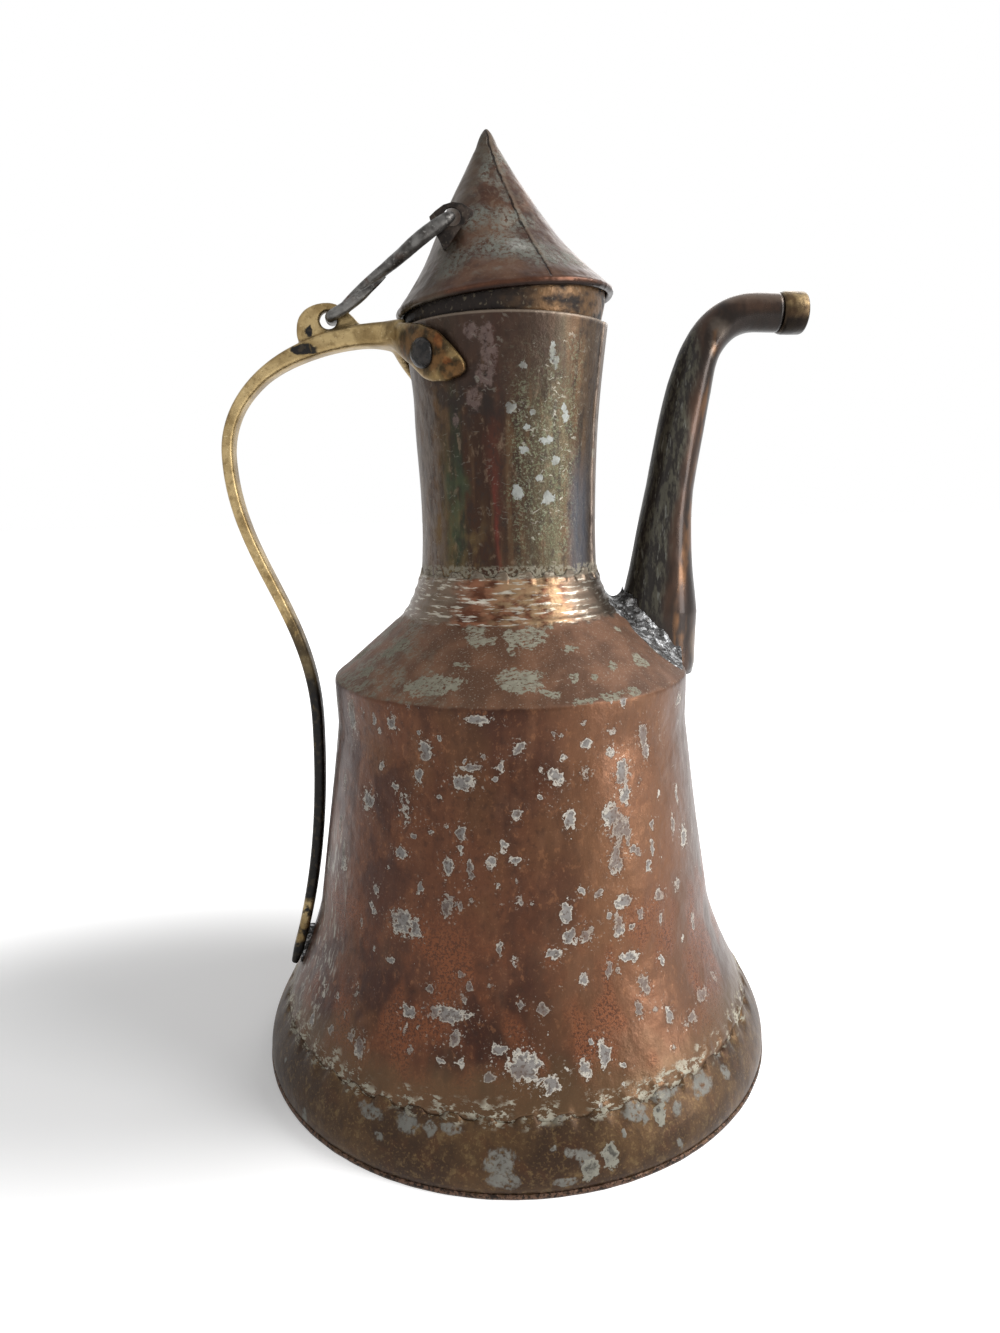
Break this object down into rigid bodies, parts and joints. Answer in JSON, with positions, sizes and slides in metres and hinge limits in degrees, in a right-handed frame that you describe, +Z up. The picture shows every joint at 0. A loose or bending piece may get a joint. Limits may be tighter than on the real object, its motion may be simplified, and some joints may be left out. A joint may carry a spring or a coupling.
{
  "type": "ewer",
  "caption": "Sheet copper ewer with a flared bell body, tall neck, bent spout, cast handle with a forked clasp, and a conical lid that hangs from the handle on a wire link.",
  "frame": {"origin": "middle of the underside of the base plate", "axes": "+Z up along the axis of the body and neck, +X towards the spout, -X towards the handle"},
  "size_m": [0.2016, 0.1884, 0.3195],
  "materials": {
    "copper": "aged reddish-brown copper, satin, blotched",
    "dark_copper": "dark brown oxidised copper with a dull sheen",
    "olive_copper": "olive-brown tarnished copper",
    "brass": "worn cast brass, brighter on its edges",
    "iron": "dark wrought iron",
    "solder": "dull grey soft solder, crusty"
  },
  "bodies": {
    "ewer": {"base_plate": "olive_copper", "foot_band": "olive_copper", "body_shell": "copper", "neck_tube": "dark_copper", "spout": "dark_copper", "spout_ferrule": "brass", "spout_solder": "solder", "handle": "brass", "handle_solder": "solder", "neck_rivet_front": "iron", "neck_rivet_back": "iron"},
    "link": {"lid_link": "iron"},
    "lid": {"lid_cone": "dark_copper", "lid_collar": "dark_copper", "lid_eye": "dark_copper"}
  },
  "joints": [
    {"name": "link_swing", "type": "hinge", "parent": "ewer", "child": "link", "pos_m": [-0.05803, 0, 0.26055], "axis": [0, -1, 0], "range_deg": [0, 90]},
    {"name": "lid_tilt", "type": "hinge", "parent": "link", "child": "lid", "pos_m": [-0.01738, 0, 0.29001], "axis": [0, -1, 0], "range_deg": [-9, 0]}
  ],
  "couplings": [
    {"joint": "lid_tilt", "follows": "link_swing", "ratio": -0.1}
  ]
}
